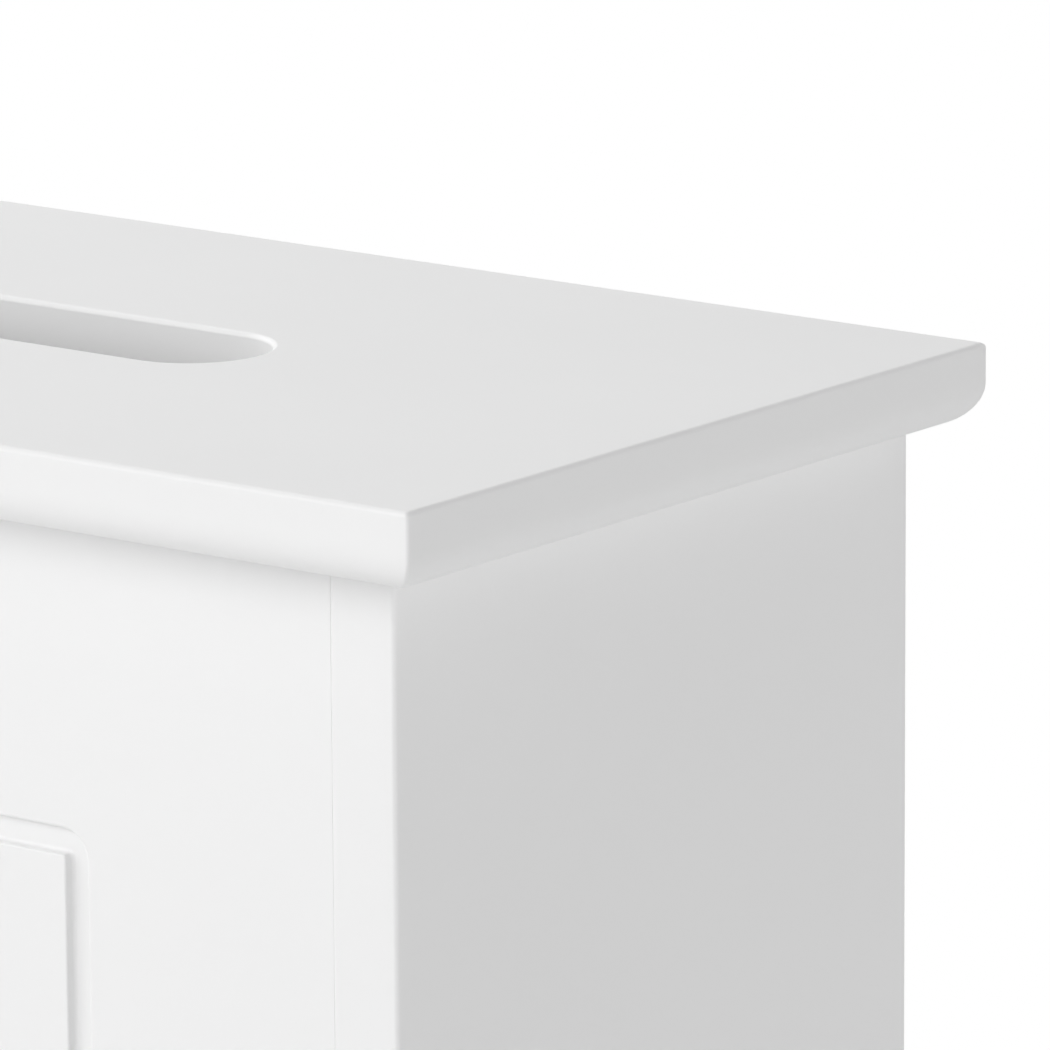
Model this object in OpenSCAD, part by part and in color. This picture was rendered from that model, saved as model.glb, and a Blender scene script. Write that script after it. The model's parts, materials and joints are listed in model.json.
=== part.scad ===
// Toilet paper storage box: a slim floor cabinet with a dispensing slot in its top board.
// Millimetres. Origin on the floor under the middle of the top board, +Z up, door facing -Y.

/* [Overall] */
// Width of the top board, the widest part of the box
overall_w = 350; // [320:1:420]
// Depth of the top board, from its front edge to the wall
overall_d = 200; // [195:1:240]
// Height from the floor to the top surface
overall_h = 650; // [620:1:740]

/* [Top board] */
// Thickness of the top board
top_t = 17.6; // [16:0.1:24]
// How far the top board stands out past each side
side_overhang = 20; // [14:0.5:28]
// How far the top board stands out past the door
front_overhang = 20.9; // [20:0.1:28]
// How far the top board stands out past the back edges of the sides
back_overhang = 0.9; // [0.5:0.1:4]
// Radius of the round along the underside of the top board
top_under_r = 9.15; // [4:0.05:11]
// Radius that eases the upper edge of the top board
top_ease_r = 1.2; // [0.5:0.1:2.5]
// Radius of the upright corners of the top board
top_corner_r = 0.7; // [0.5:0.1:3]

/* [Dispensing slot] */
// Length of the slot over its round ends
slot_len = 114.4; // [108:0.1:124]
// Width of the slot
slot_w = 34; // [24:0.5:40]
// Distance from the front edge of the top board to the slot
slot_front = 82.2; // [76:0.1:90]
// Radius of the slot's upper rim
slot_rim_r = 1.2; // [0.5:0.1:2]
// Radius of the slot's lower rim
slot_under_r = 0.8; // [0.4:0.1:1.5]

/* [Case] */
// Thickness of each side
side_t = 16.6; // [15:0.1:19]
// Thickness of the bottom panel
bottom_t = 16; // [15:0.5:19]
// Thickness of the fixed divider under the roll compartment
divider_t = 16; // [15:0.5:19]
// Height of the bottom panel's underside above the floor
base_h = 63; // [56:1:80]
// Height of the roll compartment under the top board
roll_room_h = 140; // [132:1:160]
// Distance from the door's inner face to the divider's front edge
divider_setback = 2; // [1:0.5:6]
// Radius of the front edges of the sides
side_front_r = 0.95; // [0.5:0.05:2]
// Radius that eases every other board edge in view
board_ease_r = 0.5; // [0.3:0.05:1]

/* [Base] */
// Thickness of the apron under the bottom panel
apron_t = 16; // [12:0.5:18]
// Height of the apron
apron_h = 30; // [24:1:40]
// Height of the arch cut in the lower end of each side
foot_h = 30; // [20:1:40]
// Depth of each foot that the arch leaves, front to back
foot_d = 34; // [28:1:44]
// Radius of the arch's upper corners
arch_r = 18; // [8:1:19]
// Height of a foot glide
glide_h = 3; // [2:0.5:5]
// Radius of a foot glide
glide_r = 7; // [5:0.25:7.25]
// Radius of the round at a glide's lower edge
glide_edge_r = 1.2; // [0.5:0.1:1.5]
// Radius of a glide nail
nail_r = 1.1; // [0.8:0.1:1.5]
// Length of a glide nail in the foot
nail_len = 14; // [8:1:20]
// Radius of a glide nail's head
nail_head_r = 2.6; // [2:0.1:3.2]
// Thickness of a glide nail's head
nail_head_t = 0.8; // [0.5:0.1:1]

/* [Back panel] */
// Thickness of the back panel
back_t = 3; // [2.5:0.5:5]
// Distance from the back edges of the sides to the back panel
back_inset = 6; // [3:0.5:10]
// Depth of the groove in each side that holds the back panel
groove_depth = 6; // [4:0.5:8]

/* [Shelves] */
// Thickness of an adjustable shelf
shelf_t = 12; // [10:1:16]
// Height of the space between the bottom panel and the lower shelf
tier_h = 124; // [110:1:130]
// Height of the space between the lower shelf and the upper shelf
middle_tier_h = 124; // [110:1:130]
// Distance from the door's inner face to a shelf's front edge
shelf_setback = 8; // [4:0.5:20]
// Gap between a shelf and each side
shelf_gap = 0.75; // [0.3:0.05:2]
// Radius of a shelf peg
peg_r = 2.5; // [2:0.25:3]
// Depth of a peg in the side
peg_in = 9; // [6:0.5:12]
// Length of a peg under the shelf
peg_out = 8; // [6:0.5:12]
// Pitch of the peg holes
peg_pitch = 32; // [20:1:40]
// Distance of the front pegs from the door's inner face
peg_front = 32; // [24:1:40]
// Distance of the rear pegs from the back panel
peg_rear = 26; // [16:1:40]

/* [Door] */
// Thickness of the door
door_t = 16; // [15:0.5:19]
// How far the door's face sits behind the front edges of the case
door_set = 0.35; // [0.1:0.05:0.6]
// Gap between the door's hinged edge and the left side
hinge_gap = 1; // [0.8:0.1:1.4]
// Gap between the door's free edge and the right side
latch_gap = 0.5; // [0.4:0.1:2]
// Gap above the door
door_gap_top = 2; // [1:0.5:4]
// Gap below the door
door_gap_bottom = 2; // [1:0.5:4]
// Slant of the door's free edge, so that its back corner clears the side
free_edge_slant = 3; // [2.5:0.5:5]
// Radius of the door's front edges
door_edge_r = 0.4; // [0.2:0.05:0.8]
// Width of each stile, from the door's edge to the routed groove
stile_w = 64.1; // [50:0.1:70]
// Width of the top rail
rail_top_w = 65.3; // [50:0.1:80]
// Width of the bottom rail
rail_bottom_w = 65.3; // [50:0.1:80]
// Width of the routed groove between its straight walls
door_groove_w = 5.6; // [4.5:0.1:8]
// Depth of the routed groove
door_groove_depth = 2.4; // [2.2:0.1:3.2]
// Radius of the cove at the foot of the raised panel
panel_cove_r = 0.9; // [0.6:0.05:1.2]
// Radius that eases the raised panel's edge
panel_ease_r = 0.5; // [0.3:0.05:0.7]
// Radius of the raised panel's corners seen from the front
panel_corner_r = 0.8; // [0.8:0.1:3]
// Radius that eases the groove's outer rim
groove_rim_r = 1; // [0.5:0.1:1.3]

/* [Hinges] */
// Length of a hinge
hinge_len = 50; // [40:1:64]
// Distance from each end of the door to the nearer hinge
hinge_end = 60; // [40:1:90]
// Number of knuckles on a hinge
knuckles = 5; // [3:2:7]
// Radius of a knuckle
knuckle_r = 2.75; // [2.5:0.05:2.9]
// Radius of a hinge pin
pin_r = 1.5; // [1.2:0.1:1.8]
// Distance from the front edges of the case to the hinge pin's axis
pin_stand = 3; // [3:0.1:4]
// Thickness of a hinge leaf
leaf_t = 1; // [0.8:0.1:1.2]
// Width of a hinge leaf behind the front edges of the case
leaf_w = 21; // [18:0.5:26]
// Diameter of the heads on a hinge pin, as a share of a knuckle's
pin_head_share = 0.8; // [0.6:0.05:0.95]
// Thickness of the heads on a hinge pin
pin_head_t = 1; // [0.6:0.1:1.5]
// Gap between the two closed leaves
leaf_gap = 0.3; // [0.2:0.05:0.5]
// Distance of the hinge screws from the front edges of the case
hinge_screw_y = 11; // [9:0.5:13]
// Distance between the two screws of a leaf
hinge_screw_pitch = 30; // [24:1:32]

/* [Knob] */
// Radius of the knob's head
knob_r = 14; // [10:0.5:18]
// How far the knob stands out from the door
knob_out = 20; // [20:0.5:28]
// Thickness of the knob's rim
knob_rim_t = 5; // [5:0.5:8]
// Radius of the rounds on the knob's rim
knob_rim_r = 2.2; // [1:0.1:2.4]
// Height of the dome on the knob's head
knob_dome_h = 2.6; // [1:0.1:4]
// Radius of the knob's neck
knob_neck_r = 5.5; // [4.5:0.5:8]
// Radius of the knob's foot
knob_foot_r = 8.5; // [6.5:0.5:12]
// Thickness of the knob's foot
knob_foot_t = 1.5; // [1:0.5:3]
// Height of the knob above the bottom edge of the door
knob_z = 349; // [300:1:380]
// Radius of the knob's screw
knob_screw_r = 2; // [1.5:0.25:2.5]
// How far the knob's screw reaches into the knob
knob_screw_in = 10; // [6:0.5:14]

/* [Magnetic catch] */
// Distance from the right side to the middle of the catch
catch_inset = 62; // [58:1:90]
// Length of the catch over its ears
catch_len = 46; // [44:1:56]
// Length of the catch's block
catch_block_len = 28; // [22:0.5:28]
// Depth of the catch, front to back
catch_d = 14; // [12:0.5:18]
// Height of the catch's block
catch_h = 12; // [10:0.5:16]
// Thickness of the catch's ears
catch_ear_t = 3; // [2:0.5:4]
// Length of the magnet
magnet_len = 22; // [16:0.5:22]
// Depth of the magnet, front to back
magnet_d = 8; // [6:0.5:10]
// Thickness of the magnet
magnet_t = 5; // [4:0.5:7]
// Thickness of a pole plate
pole_t = 1; // [0.8:0.1:1.5]
// How far the magnet sits behind the block's front
magnet_set = 0.4; // [0.2:0.1:1]
// How far the pole plates stand out of the block
pole_out = 0.5; // [0.2:0.1:1]
// Length of the strike plate
strike_len = 36; // [24:1:44]
// Height of the strike plate
strike_h = 12; // [10:0.5:14]
// Radius of the strike plate's corners
strike_corner_r = 2; // [1:0.5:4]
// Thickness of the strike plate
strike_t = 1.2; // [1:0.1:2]
// Gap between the strike plate and the pole plates when the door is shut
strike_gap = 0.2; // [0.1:0.1:1]

/* [Roll holder] */
// Distance from the top board's underside to the spindle's axis
spindle_drop = 68; // [64:1:74]
// Distance of each bracket from the end of the slot
cheek_clear = 1.8; // [0:0.1:4]
// Thickness of a bracket's cheek
cheek_t = 4; // [3:0.5:6]
// Depth of a bracket at its flange, front to back
cheek_d = 44; // [40:1:56]
// Radius of a cheek round the spindle
cheek_r = 13; // [10:0.5:16]
// Length of a bracket's flange outwards from the roll
flange_len = 20; // [16:0.5:26]
// Thickness of a bracket's flange
flange_t = 4; // [3:0.5:6]
// Height of a bracket's rib at the end of its flange
rib_toe = 2; // [1:0.5:4]
// Thickness of a bracket's rib
rib_t = 3; // [2:0.5:5]
// Distance between the two screws of a bracket
bracket_screw_pitch = 28; // [24:1:34]
// Depth of the socket for a spindle pin
socket_depth = 6; // [5:0.5:8]
// Thickness of the wall that closes a socket
socket_wall = 2; // [1.5:0.5:4]
// Radius of the boss round a socket
boss_r = 8; // [6.5:0.5:10]
// Radius of a spindle pin
spindle_pin_r = 4; // [3:0.25:5]
// Length of a spindle pin in its socket
spindle_pin_len = 5; // [4:0.5:5]
// Gap between each end of the spindle and its cheek
spindle_end_gap = 0.4; // [0.2:0.1:1]
// Radius of the spindle's outer tube
tube_r = 12.5; // [12:0.25:15]
// Wall of the outer tube
tube_wall = 1.5; // [1.2:0.1:1.5]
// Length of the outer tube
tube_len = 64; // [56:1:72]
// Length of the lip at the outer tube's mouth
lip_len = 2; // [1.5:0.5:4]
// Radius of the spindle's inner tube
plunger_r = 10; // [9:0.25:10]
// Wall of the inner tube
plunger_wall = 1.5; // [1.2:0.1:2.5]
// How far the inner tube reaches into the outer tube
plunger_overlap = 17; // [14:0.5:22]
// Length of the collar that keeps the inner tube in
collar_len = 3; // [2:0.5:5]
// Thickness of the closed ends of both tubes
tube_end_t = 2; // [1.5:0.5:4]
// Travel of the inner tube when the spindle is squeezed
plunger_travel = 8; // [6:0.5:9]
// Radius of the spring's wire
spring_wire_r = 0.6; // [0.4:0.05:0.8]
// Radius of the spring's coil, to the middle of the wire
spring_r = 7.5; // [5:0.25:8]
// Number of turns of the spring
spring_turns = 9; // [6:1:12]

/* [Cam fittings] */
// Distance from a board's end to the middle of its cam
cam_set = 24; // [22:0.5:30]
// Radius of a cam
cam_r = 7.4; // [6:0.1:8]
// Depth of the cross recess in a cam
cam_drive_depth = 2; // [1:0.5:3]
// Thickness of a cam
cam_t = 12.2; // [11:0.1:12.5]
// Radius of a cam bolt's thread
bolt_thread_r = 2.5; // [2:0.25:3]
// Length of a cam bolt's thread
bolt_thread_len = 10; // [8:0.5:11]
// Radius of a cam bolt's shank
bolt_shank_r = 2.4; // [2:0.1:3]
// Radius of a cam bolt's neck
bolt_neck_r = 1.6; // [1.2:0.1:2]
// Length of a cam bolt's neck
bolt_neck_len = 3.5; // [2.5:0.5:5]
// Radius of a cam bolt's head
bolt_head_r = 3.1; // [2.5:0.1:3.4]
// Length of a cam bolt's head
bolt_head_len = 2.5; // [2:0.5:3]
// Radius of the bore in a board's end that takes a cam bolt
bolt_bore_r = 3.75; // [3.5:0.05:4.25]
// Radius of a cam's cover
cover_r = 8.5; // [8:0.1:10]
// Thickness of a cam's cover
cover_t = 0.8; // [0.5:0.1:1.5]
// Distance of the front cams from the door's inner face
cam_front = 22; // [16:1:22]
// Distance of the rear cams from the back panel
cam_rear = 18; // [16:1:24]
// Radius of a dowel
dowel_r = 4; // [3:0.5:4]
// Length of a dowel
dowel_len = 30; // [26:1:34]
// Depth of a dowel in the board that it crosses
dowel_in = 11; // [8:0.5:11]
// Distance between a dowel and the cam beside it
dowel_step = 24; // [20:1:30]
// Chamfer at a dowel's ends
dowel_chamfer = 1; // [0.5:0.1:1.5]

/* [Screws] */
// Radius of a wood screw's shank
screw_r = 1.5; // [1.25:0.05:1.75]
// Radius of a wood screw's countersunk head
screw_head_r = 2.9; // [2.4:0.1:3]
// Length of a hinge screw
hinge_screw_len = 14; // [10:0.5:14]
// Length of a catch screw
catch_screw_len = 14; // [10:0.5:16]
// Length of the strike plate's screw
strike_screw_len = 11; // [8:0.5:12]
// Length of a bracket screw
bracket_screw_len = 16; // [12:0.5:18]
// Length of a back panel screw
back_screw_len = 16; // [12:0.5:22]
// Number of back panel screws in each board
back_screws = 3; // [2:1:5]
// Radius of the back panel screws' heads
pan_head_r = 3.2; // [2.5:0.1:4]
// Height of the back panel screws' heads
pan_head_h = 1.8; // [1.2:0.1:2.5]

/* [Hidden] */
$fn = 64;

// Clearances
running_fit = 0.06;
snug_fit = 0.05;
pocket_fit = 0.1;
groove_fit = 0.15;
knuckle_gap = 0.2;
spindle_slide_fit = 0.15;
knuckle_relief = 0.3;
magnet_room = 0.6;
past = 1;

// Colours
paint = [0.95, 0.95, 0.945];
board_white = [0.93, 0.93, 0.92];
steel = [0.72, 0.72, 0.73];
zinc = [0.66, 0.67, 0.69];
plastic = [0.9, 0.9, 0.89];
beech = [0.82, 0.68, 0.48];
dark = [0.2, 0.2, 0.21];

// Planes of the case
case_front = -overall_d / 2 + front_overhang;
case_back = overall_d / 2 - back_overhang;
case_half = overall_w / 2 - side_overhang;
inner_half = case_half - side_t;
top_under = overall_h - top_t;
bottom_top = base_h + bottom_t;
divider_top = top_under - roll_room_h;
divider_under = divider_top - divider_t;
back_rear = case_back - back_inset;
back_front = back_rear - back_t;
door_front = case_front + door_set;
door_back = door_front + door_t;
slot_r = slot_w / 2;
slot_y = -overall_d / 2 + slot_front + slot_r;
slot_end_x = slot_len / 2 - slot_r;

// Shelves and their pegs
shelf_lower_z = bottom_top + tier_h;
shelf_upper_z = shelf_lower_z + shelf_t + middle_tier_h;
peg_ys = [door_back + peg_front, back_front - peg_rear];

// Door
door_left = -inner_half + hinge_gap;
door_right = inner_half - latch_gap;
door_bottom = bottom_top + door_gap_bottom;
door_top = top_under - door_gap_top;
door_h = door_top - door_bottom;
slant_in = door_t * tan(free_edge_slant);
panel_left = door_left + stile_w + door_groove_w;
panel_right = door_right - stile_w - door_groove_w;
panel_bottom = door_bottom + rail_bottom_w + door_groove_w;
panel_top = door_top - rail_top_w - door_groove_w;
knob_x = door_right - stile_w / 2;
knob_height = door_bottom + knob_z;

// Hinges
pin_x = -inner_half + hinge_gap / 2;
pin_y = case_front - pin_stand;
hinge_zs = [door_bottom + hinge_end, door_top - hinge_end - hinge_len];
knuckle_len = hinge_len / knuckles;
leaf_start = pin_y + knuckle_r + knuckle_relief;
leaf_end = case_front + leaf_w;
leaf_pocket = leaf_t + leaf_gap / 2 - hinge_gap / 2;
pin_head_r = knuckle_r * pin_head_share;

// Catch
catch_x = inner_half - catch_inset;
strike_z = divider_under - catch_h / 2;
pole_front = door_back + strike_t + strike_gap;
catch_front = pole_front + pole_out;
magnet_front = catch_front + magnet_set;

// Roll holder
spindle_z = top_under - spindle_drop;
cheek_x = slot_len / 2 + cheek_clear;
spindle_half = cheek_x - spindle_end_gap;
tube_mouth = -spindle_half + tube_len;
plunger_start = tube_mouth - plunger_overlap;
tube_bore_r = tube_r - tube_wall;
flange_screw_x = cheek_x + cheek_t + (flange_len - cheek_t) / 2;
spring_start = -spindle_half + tube_end_t;

// Fittings
cam_ys = [door_back + cam_front, back_front - cam_rear];
dowel_ys = [door_back + cam_front + dowel_step, back_front - cam_rear - dowel_step];
glide_ys = [case_front + foot_d / 2, case_back - foot_d / 2];
glide_x = case_half - side_t / 2;

// What is cut away to round the corner of an outline, with the material towards +X and +Y
module corner_waste(r) {
    difference() {
        translate([-past, -past]) square([r + past, r + past]);
        translate([r, r]) circle(r);
    }
}

// Rectangle from the origin with its own radius at each corner:
// lower left, lower right, upper right, upper left
module outline(w, h, r) {
    difference() {
        square([w, h]);
        if (r[0] > 0) corner_waste(r[0]);
        if (r[1] > 0) translate([w, 0]) mirror([1, 0]) corner_waste(r[1]);
        if (r[2] > 0) translate([w, h]) rotate(180) corner_waste(r[2]);
        if (r[3] > 0) translate([0, h]) mirror([0, 1]) corner_waste(r[3]);
    }
}

// Sweeps an outline drawn in Y and Z along X
module along_x(x0, x1) {
    translate([x0, 0, 0]) rotate([90, 0, 90]) linear_extrude(x1 - x0) children();
}

// Sweeps an outline drawn in X and Z along Y
module along_y(y0, y1) {
    translate([0, y1, 0]) rotate([90, 0, 0]) linear_extrude(y1 - y0) children();
}

// Board between the sides, with its front edges eased
module cross_board(half_w, y0, y1, z0, t) {
    along_x(-half_w, half_w)
        translate([y0, z0]) outline(y1 - y0, t, [board_ease_r, 0, 0, board_ease_r]);
}

// Cross recess in a screw's head, cut down from z = 0
module drive_cross(r, depth) {
    for (a = [0, 90]) {
        rotate(a) translate([-r, -r / 4, -depth]) cube([2 * r, r / 2, depth + past]);
    }
}

// Countersunk screw along -Z, its head flush at z = 0
module csk_screw(len) {
    head_h = screw_head_r - screw_r;
    tip_h = screw_r * 1.5;
    difference() {
        union() {
            translate([0, 0, -len]) cylinder(h = tip_h, r1 = screw_r * 0.2, r2 = screw_r);
            translate([0, 0, -len + tip_h]) cylinder(h = len - tip_h - head_h, r = screw_r);
            translate([0, 0, -head_h]) cylinder(h = head_h, r1 = screw_r, r2 = screw_head_r);
        }
        drive_cross(screw_head_r * 0.6, head_h * 0.6);
    }
}

// Room for a countersunk screw
module csk_hole(len) {
    head_h = screw_head_r - screw_r;
    translate([0, 0, -len]) cylinder(h = len + past, r = screw_r + snug_fit);
    translate([0, 0, -head_h])
        cylinder(h = head_h, r1 = screw_r + snug_fit, r2 = screw_head_r + snug_fit);
    cylinder(h = past, r = screw_head_r + snug_fit);
}

// Low dome on a screw's head, standing on z = 0
module dome(r, h) {
    ball_r = (r * r + h * h) / (2 * h);
    intersection() {
        translate([0, 0, h - ball_r]) sphere(ball_r);
        cylinder(h = h, r = r + past);
    }
}

// Screw along -Z with a domed head standing on z = 0
module pan_screw(r, len, head_r, head_h) {
    difference() {
        union() {
            translate([0, 0, -len]) cylinder(h = len, r = r);
            dome(head_r, head_h);
        }
        translate([0, 0, head_h]) drive_cross(head_r * 0.55, head_h * 0.6);
    }
}

// Places a cam joint of a cross board: X runs from the side's inner face into the board,
// and the cam's mouth looks down
module at_side_joint(s, y, z) {
    mirror([s > 0 ? 1 : 0, 0, 0]) translate([-inner_half, y, z]) children();
}

// Places a cam joint of the top board: X runs from its underside down into the side,
// and the cam's mouth looks into the box
module at_top_joint(s, y) {
    mirror([s < 0 ? 1 : 0, 0, 0]) translate([inner_half + side_t / 2, y, top_under])
        rotate([0, 90, 0]) children();
}

module cam(board_t) {
    mouth = -board_t / 2;
    difference() {
        translate([cam_set, 0, mouth]) cylinder(h = cam_t, r = cam_r);
        rotate([0, 90, 0]) cylinder(h = cam_set + bolt_head_len, r = bolt_bore_r - running_fit);
        translate([cam_set, 0, mouth]) mirror([0, 0, 1]) drive_cross(cam_r * 0.55, cam_drive_depth);
    }
}

module cam_bolt() {
    head_end = cam_set + bolt_head_len / 2;
    neck_start = head_end - bolt_head_len - bolt_neck_len;
    rotate([0, 90, 0]) {
        translate([0, 0, -bolt_thread_len]) cylinder(h = bolt_thread_len, r = bolt_thread_r);
        cylinder(h = neck_start, r = bolt_shank_r);
        translate([0, 0, neck_start]) cylinder(h = bolt_neck_len, r = bolt_neck_r);
        translate([0, 0, head_end - bolt_head_len]) cylinder(h = bolt_head_len, r = bolt_head_r);
    }
}

module cam_cover(board_t) {
    translate([cam_set, 0, -board_t / 2 - cover_t]) cylinder(h = cover_t, r = cover_r);
}

// Room for a cam and its bolt in the board that carries the cam
module cam_room(board_t) {
    translate([cam_set, 0, -board_t / 2 - past])
        cylinder(h = cam_t + pocket_fit + past, r = cam_r + pocket_fit);
    translate([-past, 0, 0]) rotate([0, 90, 0]) cylinder(h = cam_set + past, r = bolt_bore_r);
}

// Room for a cam bolt's thread in the board that it crosses
module bolt_room() {
    translate([-bolt_thread_len - pocket_fit, 0, 0]) rotate([0, 90, 0])
        cylinder(h = bolt_thread_len + pocket_fit + past, r = bolt_thread_r + snug_fit);
}

module dowel() {
    c = dowel_chamfer;
    translate([-dowel_in, 0, 0]) rotate([0, 90, 0]) {
        cylinder(h = c, r1 = dowel_r - c, r2 = dowel_r);
        translate([0, 0, c]) cylinder(h = dowel_len - 2 * c, r = dowel_r);
        translate([0, 0, dowel_len - c]) cylinder(h = c, r1 = dowel_r, r2 = dowel_r - c);
    }
}

module dowel_room() {
    translate([-dowel_in - pocket_fit, 0, 0]) rotate([0, 90, 0])
        cylinder(h = dowel_len + 2 * pocket_fit, r = dowel_r + snug_fit);
}

// Everything that the joints of one cross board cut out of that board
module cross_board_joint_room(z, t) {
    for (s = [-1, 1]) {
        for (y = cam_ys) at_side_joint(s, y, z) cam_room(t);
        for (y = dowel_ys) at_side_joint(s, y, z) dowel_room();
    }
}

// Everything that the joints of one cross board cut out of one side
module side_joint_room(s, z) {
    for (y = cam_ys) at_side_joint(s, y, z) bolt_room();
    for (y = dowel_ys) at_side_joint(s, y, z) dowel_room();
}

module at_apron_dowels(s) {
    for (k = [0.28, 0.72]) {
        at_side_joint(s, case_front + apron_t / 2, base_h - apron_h * k) children();
    }
}

module top_board() {
    color(paint) difference() {
        intersection() {
            along_x(-overall_w / 2, overall_w / 2) translate([-overall_d / 2, top_under])
                outline(overall_d, top_t, [top_under_r, top_under_r, top_ease_r, top_ease_r]);
            along_y(-overall_d / 2, overall_d / 2) translate([-overall_w / 2, top_under])
                outline(overall_w, top_t, [top_under_r, top_under_r, top_ease_r, top_ease_r]);
            translate([-overall_w / 2, -overall_d / 2, top_under]) linear_extrude(top_t)
                outline(overall_w, overall_d, [top_corner_r, top_corner_r, top_corner_r, top_corner_r]);
        }
        slot_room();
        for (s = [-1, 1]) {
            for (y = cam_ys) at_top_joint(s, y) bolt_room();
            for (y = dowel_ys) at_top_joint(s, y) dowel_room();
            at_bracket_screws(s) csk_hole(bracket_screw_len);
        }
    }
}

// The dispensing slot with its eased rims
module slot_room() {
    translate([0, slot_y, top_under - past]) linear_extrude(top_t + 2 * past) {
        translate([-slot_end_x, -slot_r]) square([2 * slot_end_x, slot_w]);
        for (s = [-1, 1]) translate([s * slot_end_x, 0]) circle(slot_r);
    }
    rims = [[overall_h, slot_rim_r, 1], [top_under, slot_under_r, 0]];
    for (rim = rims) {
        along_x(-slot_end_x, slot_end_x) for (s = [0, 1]) {
            translate([slot_y, rim[0]]) mirror([s, 0]) translate([slot_r, 0])
                mirror([0, rim[2]]) corner_waste(rim[1]);
        }
        for (s = [-1, 1]) {
            translate([s * slot_end_x, slot_y, rim[0]]) rotate(s > 0 ? -90 : 90)
                rotate_extrude(angle = 180) translate([slot_r, 0]) mirror([0, rim[2]])
                corner_waste(rim[1]);
        }
    }
}

module side_panel(s) {
    difference() {
        mirror([s < 0 ? 1 : 0, 0, 0]) difference() {
            translate([inner_half, case_front, glide_h]) linear_extrude(top_under - glide_h)
                outline(side_t, case_back - case_front,
                    [side_front_r, side_front_r, board_ease_r, board_ease_r]);
            along_x(inner_half - past, case_half + past) foot_arch();
            translate([inner_half - past, back_front - groove_fit, glide_h - past])
                cube([groove_depth + past, back_t + 2 * groove_fit, top_under]);
            for (z = [shelf_lower_z, shelf_upper_z], k = [-1, 0, 1], y = peg_ys) {
                translate([inner_half - past, y, z - peg_r - snug_fit + k * peg_pitch])
                    rotate([0, 90, 0])
                    cylinder(h = peg_in + pocket_fit + past, r = peg_r + snug_fit);
            }
            for (y = glide_ys) {
                translate([glide_x, y, glide_h - past])
                    cylinder(h = nail_len + pocket_fit + past, r = nail_r + snug_fit);
            }
        }
        side_joint_room(s, base_h + bottom_t / 2);
        side_joint_room(s, divider_under + divider_t / 2);
        at_apron_dowels(s) dowel_room();
        for (y = cam_ys) at_top_joint(s, y) cam_room(side_t);
        for (y = dowel_ys) at_top_joint(s, y) dowel_room();
    }
}

// Arch in the lower end of a side, drawn in Y and Z
module foot_arch() {
    w = case_back - case_front - 2 * foot_d;
    translate([case_front + foot_d, glide_h - past])
        outline(w, foot_h + past, [0, 0, arch_r, arch_r]);
}

// Pocket in the left side or in the door for each hinge leaf
module leaf_pockets(x0, x1) {
    for (z = hinge_zs) {
        translate([x0, case_front - past, z - snug_fit])
            cube([x1 - x0, leaf_w + past + snug_fit, hinge_len + 2 * snug_fit]);
    }
}

module side_left() {
    color(paint) difference() {
        side_panel(-1);
        leaf_pockets(-inner_half - leaf_pocket, -inner_half + past);
        at_hinge_screws() at_frame_screw() csk_hole(hinge_screw_len);
    }
}

module side_right() {
    color(paint) side_panel(1);
}

module bottom_panel() {
    z = base_h + bottom_t / 2;
    color(paint) difference() {
        cross_board(inner_half, case_front, back_front, base_h, bottom_t);
        cross_board_joint_room(z, bottom_t);
        at_back_screws(z) back_screw_room();
    }
}

module divider_shelf() {
    z = divider_under + divider_t / 2;
    color(paint) difference() {
        cross_board(inner_half, door_back + divider_setback, back_front, divider_under, divider_t);
        cross_board_joint_room(z, divider_t);
        at_back_screws(z) back_screw_room();
        at_catch_screws() csk_hole(catch_screw_len);
    }
}

module apron() {
    color(paint) difference() {
        along_x(-inner_half, inner_half) translate([case_front, base_h - apron_h])
            outline(apron_t, apron_h, [board_ease_r, board_ease_r, 0, 0]);
        for (s = [-1, 1]) at_apron_dowels(s) dowel_room();
    }
}

module back_panel() {
    half = inner_half + groove_depth - groove_fit;
    color(board_white) difference() {
        translate([-half, back_front, base_h]) cube([2 * half, back_t, top_under - base_h]);
        for (z = [base_h + bottom_t / 2, divider_under + divider_t / 2]) {
            at_back_screws(z) back_screw_room();
        }
    }
}

module shelf(z) {
    color(paint) cross_board(inner_half - shelf_gap, door_back + shelf_setback,
        back_front - shelf_gap, z, shelf_t);
}

module shelf_lower() {
    shelf(shelf_lower_z);
}

module shelf_upper() {
    shelf(shelf_upper_z);
}

module shelf_pegs() {
    color(steel) for (s = [-1, 1], y = peg_ys, z = [shelf_lower_z, shelf_upper_z]) {
        mirror([s < 0 ? 1 : 0, 0, 0])
            translate([inner_half - peg_out, y, z - peg_r - snug_fit]) rotate([0, 90, 0])
            cylinder(h = peg_out + peg_in, r = peg_r);
    }
}

module at_glides() {
    for (s = [-1, 1], y = glide_ys) translate([s * glide_x, y, 0]) children();
}

module foot_glides() {
    color(plastic) at_glides() difference() {
        rotate_extrude() difference() {
            square([glide_r, glide_h]);
            translate([glide_r, 0]) mirror([1, 0]) corner_waste(glide_edge_r);
        }
        translate([0, 0, -past]) cylinder(h = nail_head_t * 1.5 + past, r = nail_head_r + pocket_fit);
        cylinder(h = glide_h + past, r = nail_r + snug_fit);
    }
}

module glide_nails() {
    color(steel) at_glides() {
        translate([0, 0, nail_head_t / 2]) cylinder(h = nail_head_t, r = nail_head_r);
        translate([0, 0, nail_head_t]) cylinder(h = glide_h + nail_len - nail_head_t, r = nail_r);
    }
}

// Outline of the door seen from above, with its free edge slanted
module door_outline() {
    r = door_edge_r;
    difference() {
        polygon([
            [door_left, door_front], [door_right, door_front], [door_right, door_front + r],
            [door_right - slant_in, door_back], [door_left, door_back]
        ]);
        translate([door_left, door_front]) corner_waste(r);
        translate([door_right, door_front]) mirror([1, 0]) corner_waste(r);
    }
}

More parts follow.
